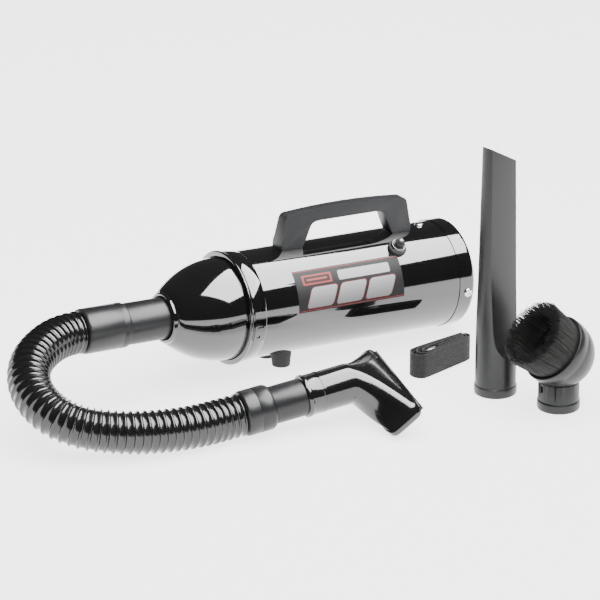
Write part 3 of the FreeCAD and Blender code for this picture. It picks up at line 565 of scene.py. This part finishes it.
def plate_of(corners, depth):
    """A flat outline in X and Z, given thickness to both sides of Y: a filled circle with its corners set."""
    bpy.ops.object.select_all(action="DESELECT")
    bpy.ops.mesh.primitive_circle_add(vertices=len(corners), radius=1, fill_type="NGON")
    piece = bpy.context.object
    around = sorted(piece.data.vertices, key=lambda item: math.atan2(item.co.y, item.co.x))
    for vertex, (across, up) in zip(around, corners):
        vertex.co = (across, -depth / 2, up)
    bpy.ops.object.mode_set(mode="EDIT")
    bpy.ops.mesh.select_all(action="SELECT")
    bpy.ops.mesh.extrude_region_move(TRANSFORM_OT_translate={"value": (0, depth, 0)})
    bpy.ops.mesh.select_all(action="SELECT")
    bpy.ops.mesh.normals_make_consistent(inside=False)
    bpy.ops.object.mode_set(mode="OBJECT")
    return piece


handle = plate_of(arch, 0.0185)
for vertex in handle.data.vertices:
    vertex.co.y *= 1 - max(0.0, vertex.co.z - 0.058) * (1 - 11.5 / 18.5) / 0.038
bpy.ops.mesh.primitive_cylinder_add(vertices=128, radius=0.05404, depth=0.3,
                                    rotation=(0, math.radians(90), 0),
                                    location=(0.13, 0, 0))
carved(handle, bpy.context.object)
applied(handle, "BEVEL", width=0.0014, segments=4, limit_method="ANGLE", angle_limit=math.radians(32))
bpy.ops.object.shade_smooth_by_angle(angle=math.radians(38))
settled(handle, canister, "handle_arch")
fitted(handle, "canister", "satin_grey_plastic", handle_grey, "carry_handle")

# ---- Side label ---------------------------------------------------------------------------------
# A thin printed film on the tube: a black panel with fine red edge lines, a red block, a white bar and
# three slanted silver blocks, with a dull varnish over it. The print is plain shapes.
label = Finish("printed_label", Specular_IOR_Level=0.25)
local = label.node("ShaderNodeMapping", values={
    0: label.place(), 2: (0, math.radians(-2.93), 0),
    1: tuple(-(Matrix.Rotation(math.radians(-2.93), 3, "Y") @ Vector((-0.10386, 0.1128, 0.06825))))})
split = label.node("ShaderNodeSeparateXYZ", values={0: local})
up_axis = split.output(2)
side_axis = split.output(1)
across = split - 0.1175
down = (side_axis * -1).math("ARCTAN2", up_axis) * 0.05425 - math.radians(64) * 0.05425


def printed(x, y, centre, half, corner, slant=0.0):
    """1 inside a rounded, slanted block on the label and 0 outside, with a crisp printed edge."""
    reach_x = (x + y * slant - centre[0]).math("ABSOLUTE") - (half[0] - corner)
    reach_y = (y - centre[1]).math("ABSOLUTE") - (half[1] - corner)
    over_x = reach_x.math("MAXIMUM", 0.0)
    over_y = reach_y.math("MAXIMUM", 0.0)
    return (over_x * over_x + over_y * over_y) < corner * corner


# Painted shade: each printed colour is darkened towards the bottom of the label, where the tube turns away
# from the light.
painted_shade = label.node("ShaderNodeMapRange", values={0: down, 1: -0.004, 2: 0.018, 3: 0.0, 4: 1.0})
grit = label.noise(900, 2)
ink = label.tint(grit, (0.008, 0.008, 0.009), (0.014, 0.013, 0.014))


def over(under, mask, shade, painted_shade_colour=None):
    """Lay one printed colour over another, with painted shade towards the bottom of the label; the last
    argument is the shaded colour at the bottom.
    """
    top = label.tint(painted_shade, shade, painted_shade_colour or [part * 0.93 for part in shade])
    return label.node("ShaderNodeMix", {"data_type": "RGBA"}, {0: mask, 6: under, 7: top}, output=2)


for edge in (-0.0201, 0.0201):
    ink = over(ink, printed(across, down, (0, edge), (0.061, 0.00035), 0.0001), (0.42, 0.05, 0.05))
ink = over(ink, printed(across, down, (-0.0363, -0.0104), (0.0170, 0.0052), 0.0012), (0.55, 0.07, 0.06))
ink = over(ink, printed(across, down, (-0.0363, -0.0104), (0.0148, 0.0034), 0.0010), (0.035, 0.010, 0.010))
ink = over(ink, printed(across, down, (-0.0363, -0.0104), (0.0118, 0.0010), 0.0007), (0.60, 0.09, 0.08))
ink = over(ink, printed(across, down, (0.0185, -0.0106), (0.0300, 0.0050), 0.0018), (0.86, 0.86, 0.87))
for middle in (-0.0300, 0.0040, 0.0380):
    ink = over(ink, printed(across, down, (middle, 0.0078), (0.0158, 0.0108), 0.0042, 0.42),
               (0.24, 0.03, 0.03))
    # The silver blocks carry painted shade, falling to half their brightness towards the bottom of the label.
    ink = over(ink, printed(across, down, (middle, 0.0078), (0.0150, 0.0100), 0.0036, 0.42),
               (0.80, 0.80, 0.81),
               (0.40, 0.40, 0.42))
label.feed("Base Color", ink)
label.feed("Roughness", 0.46 + grit * 0.12)
label.bump(grit, 0.00001)
coated(label, "side_label")

# ---- Feet ---------------------------------------------------------------------------------------
# Two moulded rubber feet screwed up into the tube; the rubber is matt with a bloom of fine dust.
rubber = Finish("black_rubber")
bloom = rubber.noise(220, 4)
rubber.feed("Base Color", rubber.tint(bloom, (0.010, 0.010, 0.010), (0.032, 0.031, 0.030)))
rubber.feed("Roughness", 0.62 + bloom * 0.22)
rubber.bump(rubber.noise(1600, 2), 0.00006)
coated(rubber, "front_feet", "cone_seal", "cord_gland", "motor_mount_ring")

# ---- Toggle switch ------------------------------------------------------------------------------
# A panel toggle: a rubber pad shaped to the tube, a plated ring nut, a turned barrel, and the lever
# under a small rubber boot. The lever tips on a pivot inside the barrel.
seat = on_side(0.183, 33.6, 0.054)
pad = lathed([(-0.0012, 0.0095), (0.0022, 0.0095), (0.0034, 0.0088), (0.0038, 0.0078), (0.0038, 0.0061),
              (-0.0012, 0.0061)], sides=64, soft=0.0003)
settled(pad, seat, "switch_rubber_pad")
fitted(pad, "canister", "black_rubber", rubber, "switch_pad")
nut_finish = Finish("nut_plating", Metallic=1.0)
nut_cloud = nut_finish.noise(300, 3)
nut_finish.feed("Base Color", nut_finish.tint(nut_cloud, (0.10, 0.10, 0.11), (0.20, 0.20, 0.21)))
nut_finish.feed("Roughness", 0.28 + nut_cloud * 0.2)
nut = lathed([(0.0037, 0.0078), (0.0046, 0.0078), (0.0049, 0.0074), (0.0052, 0.0078), (0.0060, 0.0076),
              (0.0066, 0.0070),
              (0.0066, 0.0061), (0.0037, 0.0061)], sides=64, soft=0.0002)
settled(nut, seat, "switch_ring_nut")
fitted(nut, "canister", "plated_steel", nut_finish, "switch_nut")
tip = next(joint for joint in frame["joints"] if joint["name"] == "switch_tip")
pivot = Vector(tip["pos_m"])
leaning = (Matrix.Translation(pivot) @ Matrix.Rotation(math.radians(-9), 4, Vector(tip["axis"]))
           @ Matrix.Translation(-pivot) @ seat)
boot = lathed([(0.0070, 0.0030), (0.0084, 0.0036), (0.0092, 0.0046), (0.0100, 0.0049), (0.0112, 0.0046),
               (0.0120, 0.0036),
               (0.0132, 0.0030), (0.0140, 0.0032), (0.0146, 0.0030), (0.0150, 0.0021), (0.0070, 0.0019)],
              sides=48)
settled(boot, leaning, "switch_boot")
fitted(boot, "switch_arm", "black_rubber", rubber)
lever = lathed([(-0.003, 0.0016), (0.0130, 0.0019), (0.0146, 0.0024), (0.0154, 0.0023), (0.0159, 0.0016),
                (0.0161, 0.0006)], sides=32, closed=False)
capped()
settled(lever, leaning, "switch_lever_stick")
fitted(lever, "switch_arm", "plated_steel", nut_finish, "switch_lever")

# ---- Crevice tool -------------------------------------------------------------------------------
# A satin PVC tube with a beaded cuff, flattened above it to a narrow blade whose two flat faces run
# out in a rounded end near the floor; the tip is cut at a slant and open.
crevice_place = Matrix.Translation(flange + Vector((0.2025, -0.1838,
                                                    0))) @ Matrix.Rotation(math.radians(10), 4, "Z")
blade = lathed([
    (0.0004, 0.0199), (0.0000, 0.0204), (0.0006, 0.0209), (0.0016, 0.0211), (0.0078, 0.0211),
    (0.0088, 0.0209),
    (0.0094, 0.0203), (0.0098, 0.0202), (0.0600, 0.0202), (0.2700, 0.0170)], sides=96, closed=False)
capped()
flat_side = [(0.0235, 0.030), (0.0203, 0.0400), (0.0178, 0.0455), (0.0150, 0.0525), (0.0133, 0.0600),
             (0.0122, 0.0700),
             (0.0110, 0.0900), (0.0094, 0.1180), (0.0066, 0.2700)]
slab = plate_of([(x, z) for x, z in [(0.0235, -0.01)] + flat_side] + [(-x, z) for x, z in flat_side[::-1]]
                + [(-0.0235, -0.01)], 0.06)
slab.data.transform(Matrix.Rotation(math.radians(90), 4, "Z"))
carved(blade, slab, "INTERSECT")
bpy.ops.object.select_all(action="DESELECT")
knife = block((0.12, 0.06, 0.08), Matrix.Translation((-0.018, 0, 0.2590)) @ Matrix.Rotation(
    math.radians(29.5), 4, "Y") @ Matrix.Translation((0.04, 0, 0.04)))
carved(blade, knife)
applied(blade, "BEVEL", width=0.0011, segments=3, limit_method="ANGLE", angle_limit=math.radians(28))
hollow = lathed([(-0.001, 0.0175), (0.0450, 0.0175), (0.2750, 0.0153)], sides=72, closed=False)
capped()
inside = [(max(x - 0.0021, 0.0044), z) for x, z in flat_side]
slab = plate_of([(0.0214, -0.02)] + inside + [(-x, z) for x, z in inside[::-1]] + [(-0.0214, -0.02)], 0.06)
slab.data.transform(Matrix.Rotation(math.radians(90), 4, "Z"))
carved(hollow, slab, "INTERSECT")
carved(blade, hollow)
picked(blade)
bpy.ops.object.shade_smooth_by_angle(angle=math.radians(32))
settled(blade, crevice_place, "crevice_blade")
fitted(blade, "crevice", "black_plastic", satin_black, "crevice_tool")

# ---- Dusting brush ------------------------------------------------------------------------------
# A moulded neck with a beaded cuff and a bleed slot; a round head on two steel pins, tilted back; and
# a ring of dense black nylon tufts pressed into the head.
brush_foot = Matrix.Translation(flange + Vector((0.2335, -0.2481, 0)))
brush_pivot = brush_foot @ Matrix.Translation((0, 0, 0.057))
tilted = brush_pivot @ Matrix.Rotation(math.radians(-49.9), 4, "Y")
neck = lathed([
    (0.0004, 0.0199), (0.0000, 0.0204), (0.0006, 0.0209), (0.0016, 0.0211), (0.0078, 0.0211),
    (0.0088, 0.0209),
    (0.0094, 0.0203), (0.0098, 0.0202), (0.0300, 0.0202), (0.0300, 0.0080), (0.0185, 0.0085),
    (0.0165, 0.0175),
    (0.0004, 0.0175)], sides=96)
bpy.ops.object.select_all(action="DESELECT")
bpy.ops.mesh.primitive_uv_sphere_add(segments=64, ring_count=32, radius=0.0351, location=(0, 0, 0.057))
carved(neck, bpy.context.object)
carved(neck, block((0.03, 0.004, 0.007), Matrix.Translation((-0.025, 0, 0.0225))))
applied(neck, "BEVEL", width=0.0004, segments=2, limit_method="ANGLE", angle_limit=math.radians(40))
bpy.ops.object.shade_smooth_by_angle(angle=math.radians(40))
settled(neck, brush_foot, "brush_neck_moulding")
fitted(neck, "brush_base", "black_plastic", satin_black, "brush_neck")
stem = lathed([(0.0175, 0.0100), (0.0570, 0.0100), (0.0570, 0.0072), (0.0175, 0.0085)], sides=48)
bpy.ops.object.select_all(action="DESELECT")
bpy.ops.mesh.primitive_cylinder_add(vertices=64, radius=0.012, depth=0.019, location=(0, 0, 0.057),
                                    rotation=(math.radians(90), 0, 0))
barrel = bpy.context.object
carved(stem, barrel, "UNION")
bpy.ops.object.select_all(action="DESELECT")
bpy.ops.mesh.primitive_cylinder_add(vertices=48, radius=0.0072, depth=0.060, location=(0, 0, 0.048))
carved(stem, bpy.context.object)
settled(stem, brush_foot, "brush_swivel")
fitted(stem, "brush_base", "black_plastic", satin_black)

bowl_profile = [(-0.0345 * math.cos(math.radians(step)), 0.0345 * math.sin(math.radians(step)))
                for step in range(15, 90, 5)]
bowl_profile += [(0, 0.0345), (0.0006, 0.0349), (0.0092, 0.0350), (0.0102, 0.0347), (0.0106, 0.0341),
                 (0.0106, 0.0331),
                 (0.0098, 0.0326), (0, 0.0325)]
bowl_profile += [(-0.0325 * math.cos(math.radians(step)), 0.0325 * math.sin(math.radians(step)))
                 for step in range(85, 15, -5)]
bowl = lathed(bowl_profile, sides=128)
carved(bowl, block((0.066, 0.0214, 0.060), Matrix.Translation((0, 0, -0.032))))
picked(bowl)
bpy.ops.object.shade_smooth_by_angle(angle=math.radians(35))
settled(bowl, tilted, "brush_bowl")
fitted(bowl, "brush_head", "black_plastic", satin_black, "brush_cup")
pin_steel = plastic("pin_steel", (0.32, 0.32, 0.33), 0.3, 0.0004, 0.00001, Metallic=1.0)
coated(satin_black, "bristle_ring")
coated(pin_steel, "brush_pivots")

bristle_black = Finish("nylon_bristle", Specular_IOR_Level=0.35)
streak = bristle_black.noise(700, 2)
bristle_black.feed("Base Color", bristle_black.tint(streak, (0.008, 0.008, 0.008), (0.040, 0.038, 0.036)))
bristle_black.feed("Roughness", 0.42 + streak * 0.2)
core = lathed([(0.0088, 0.0310), (0.0340, 0.0318), (0.0370, 0.0300), (0.0370, 0.0265), (0.0340, 0.0240),
               (0.0088, 0.0236)], sides=96)
settled(core, tilted, "bristle_core")
fitted(core, "brush_head", "nylon_bristle", bristle_black)
bpy.ops.object.select_all(action="DESELECT")
bpy.ops.mesh.primitive_cone_add(vertices=4, radius1=0.00042, radius2=0.00022, depth=1, location=(0, 0, 0.5))
hair = bpy.context.object
settled(hair, Matrix.Identity(4), "hair")
hair_points = [vertex.co.copy() for vertex in hair.data.vertices]
hair_faces = [list(face.vertices) for face in hair.data.polygons]
dice = random.Random(7)
points, faces = [], []
for row, (foot_radius, head_radius, count) in enumerate((
        (0.0232, 0.0222, 230), (0.0250, 0.0246, 230), (0.0268, 0.0270, 250), (0.0286, 0.0296, 260),
        (0.0302, 0.0320, 290),
        (0.0312, 0.0336, 420))):
    for index in range(count):
        around = 2 * math.pi * (index + dice.uniform(-0.45, 0.45)) / count
        lean = around + dice.gauss(0, 0.03)
        spread = head_radius + dice.gauss(0, 0.0007)
        foot = Vector((math.cos(around) * foot_radius, math.sin(around) * foot_radius, 0.0090))
        head_end = Vector((math.cos(lean) * spread, math.sin(lean) * spread,
                           0.0430 + dice.gauss(-0.0012, 0.0012)))
        way = head_end - foot
        place = Matrix.Translation(foot) @ way.to_track_quat("Z", "Y").to_matrix().to_4x4() @ Matrix.Diagonal(
            (1, 1, way.length, 1))
        first = len(points)
        points += [place @ point for point in hair_points]
        faces += [[first + corner for corner in face] for face in hair_faces]
hair.data.clear_geometry()
hair.data.from_pydata(points, [], faces)
settled(hair, tilted, "brush_tufts")
fitted(hair, "brush_head", "nylon_bristle", bristle_black, "brush_bristles")

# ---- Shoulder strap -----------------------------------------------------------------------------
# Woven black nylon webbing, 25 mm wide, wound flat into a bundle that stands on its edge with a
# rounded loop at its left end and a small snap hook caught in the innermost fold.
strap_place = Matrix.Translation(flange + Vector((0.158, -0.11, 0.0127))) @ Matrix.Rotation(
    math.radians(11.6), 4, "Z")
winding = [(0.030, 0.0004), (0.050, 0.0004)]
for turn_index in range(3):
    grow = 0.0027 * turn_index
    right_end = 0.0665 + 0.0036 * turn_index
    left_end = 0.0098 - 0.0068 * turn_index
    winding += [(right_end - 0.005, 0.0012 + grow * 0.75), (right_end, 0.0002 + grow * 0.2),
                (right_end - 0.004, -0.0016 - grow * 0.75), (0.045, -0.0024 - grow * 0.9),
                (left_end + 0.012, -0.0044 - grow * 1.05), (left_end + 0.002, -0.0046 - grow),
                (left_end - 0.0016, 0.0002), (left_end + 0.003, 0.0044 + grow),
                (left_end + 0.014, 0.0050 + grow * 1.1), (0.045, 0.0038 + grow)]
winding = winding[:-1] + [(0.045, 0.0036 + 0.0054), (0.070, 0.0074)]
strap_line, strap_points = line_through("strap_line", [Vector((x, y, 0)) for x, y in winding])
bpy.data.objects.remove(strap_line)
strap_length = length_of(strap_points)
bpy.ops.object.select_all(action="DESELECT")
bpy.ops.mesh.primitive_grid_add(x_subdivisions=420, y_subdivisions=6, size=1, calc_uvs=True)
strap = bpy.context.object
stations = frames_along(strap_points)
at = 0
for vertex in sorted(strap.data.vertices, key=lambda item: item.co.x):
    distance = (vertex.co.x + 0.5) * strap_length
    while at < len(stations) - 2 and stations[at + 1][0] < distance:
        at += 1
    (start, near, _, _), (end, far, _, _) = stations[at], stations[at + 1]
    spot = near.lerp(far, (distance - start) / (end - start))
    vertex.co = (spot.x, spot.y, vertex.co.y * 0.0248)
applied(strap, "SOLIDIFY", thickness=0.0013, offset=0)
bpy.ops.object.shade_smooth_by_angle(angle=math.radians(50))
settled(strap, strap_place, "webbing_strap")
webbing = Finish("webbing", Specular_IOR_Level=0.3, Sheen_Weight=0.25, Sheen_Roughness=0.4)
cloth = webbing.node("ShaderNodeTexCoord", output=2)
cloth_split = webbing.node("ShaderNodeSeparateXYZ", values={0: cloth})
along_cloth = cloth_split * strap_length
across_cloth = cloth_split.output(1) * 0.025
weft = (along_cloth * (2 * math.pi / 0.0022)).math("SINE")
warp = (across_cloth * (2 * math.pi / 0.0025)).math("SINE")
cross = weft * warp
fluff = webbing.noise(1400, 3)
height = cross * 0.5 + warp * 0.35 + fluff * 0.4
webbing.feed("Base Color", webbing.tint(cross * 0.35 + 0.35 + fluff * 0.3, (0.008, 0.0076, 0.0076),
                                        (0.048, 0.045, 0.044)))
webbing.feed("Roughness", 0.66 + fluff * 0.2)
webbing.bump(height, 0.00035)
fitted(strap, "strap", "webbing", webbing, "shoulder_strap")
hook = lathed([(-0.006, 0.0012), (-0.0055, 0.0030), (-0.002, 0.0034), (0.004, 0.0026), (0.007, 0.0014),
               (0.007, 0.0006),
               (-0.006, 0.0006)], sides=24)
settled(hook, strap_place @ Matrix.Translation((0.020, 0.0006, 0.0088)) @ Matrix.Rotation(math.radians(80),
                                                                                          4, "Y"),
        "strap_snap_hook")
fitted(hook, "strap", "plated_steel", nut_finish)

# ---- Dust bag, filter and motor -----------------------------------------------------------------
# What the shell hides: the paper dust bag on its card collar, the foam exhaust filter, and the motor
# with its cast brackets, laminated cores, varnished copper, carbon brushes and fan.
hidden = {
    "card": ((0.42, 0.33, 0.21), 0.8, 60, ("bag_collar",), {}),
    "filter_paper": ((0.62, 0.57, 0.47), 0.85, 90, ("dust_bag",), {}),
    "filter_foam": ((0.030, 0.030, 0.032), 0.9, 900, ("exhaust_filter",), {}),
    "cast_aluminium": ((0.50, 0.51, 0.52), 0.42, 350, ("front_bracket", "rear_bracket", "diffuser",
                                                       "impeller"),
                       {"Metallic": 1.0}),
    "laminated_steel": ((0.22, 0.22, 0.23), 0.45, 500, ("field_core", "armature_core"), {"Metallic": 1.0}),
    "copper": ((0.58, 0.27, 0.12), 0.32, 700, ("field_coils", "commutator"), {"Metallic": 1.0}),
    "bearing_steel": ((0.48, 0.48, 0.49), 0.22, 400, ("motor_bearings", "motor_shaft"), {"Metallic": 1.0}),
    "brass": ((0.62, 0.45, 0.18), 0.30, 400, ("brush_holders",), {"Metallic": 1.0}),
    "carbon": ((0.030, 0.030, 0.031), 0.6, 600, ("carbon_brushes",), {}),
    "moulded_housing": ((0.020, 0.020, 0.021), 0.5, 300, ("fan_housing", "switch_body"), {}),
}
for finish_name, (shade, rough, scale, members, constants) in hidden.items():
    coated(plastic("hidden_" + finish_name, shade, rough, 1 / scale, 0.00008, **constants), *members)

# ---- Floor and lights ---------------------------------------------------------------------------
# A plain white studio floor; one large softbox over the operator's side gives the crisp bands on the
# gloss paint, and broad weak fills light the floor evenly.
bpy.ops.object.select_all(action="DESELECT")
bpy.ops.mesh.primitive_plane_add(size=24, location=(0, 0, 0))
floor = bpy.context.object
floor.name = "floor"
floor_paint = Finish("floor_paint", Roughness=0.9, Specular_IOR_Level=0.1, Emission_Strength=2.6)
floor_paint.shader.inputs["Emission Color"].default_value = (1, 1, 1, 1)
floor_cloud = floor_paint.noise(0.6, 2)
floor_paint.feed("Base Color", floor_paint.tint(floor_cloud, (0.90, 0.90, 0.90), (0.93, 0.93, 0.93)))
floor.data.materials.append(floor_paint.material)
floor.visible_diffuse = False


def softbox(name, centre, towards, sizes, power, glossy=True, diffuse=True):
    """A rectangular area light that faces a point."""
    data = bpy.data.lights.new(name, "AREA")
    data.shape = "RECTANGLE"
    data.size, data.size_y = sizes
    data.energy = power
    lamp = bpy.data.objects.new(name, data)
    bpy.context.scene.collection.objects.link(lamp)
    lamp.location = centre
    lamp.rotation_euler = (Vector(towards) - Vector(centre)).to_track_quat("-Z", "Y").to_euler()
    lamp.visible_glossy = glossy
    lamp.visible_diffuse = diffuse
    return lamp


softbox("key_softbox", (0.30, -0.24, 0.95), (0.02, 0.06, 0.06), (1.35, 0.95), 80, diffuse=False)
softbox("top_fill", (0.0, -0.3, 2.6), (0, 0, 0), (4.0, 4.0), 190, glossy=False)
softbox("front_fill", (-1.6, -2.6, 1.6), (0, 0, 0.05), (2.4, 2.0), 40, glossy=False)
world = bpy.data.worlds.new("studio")
world.use_nodes = True
world.node_tree.nodes["Background"].inputs[0].default_value = (1, 1, 1, 1)
world.node_tree.nodes["Background"].inputs[1].default_value = 0.06
bpy.context.scene.world = world
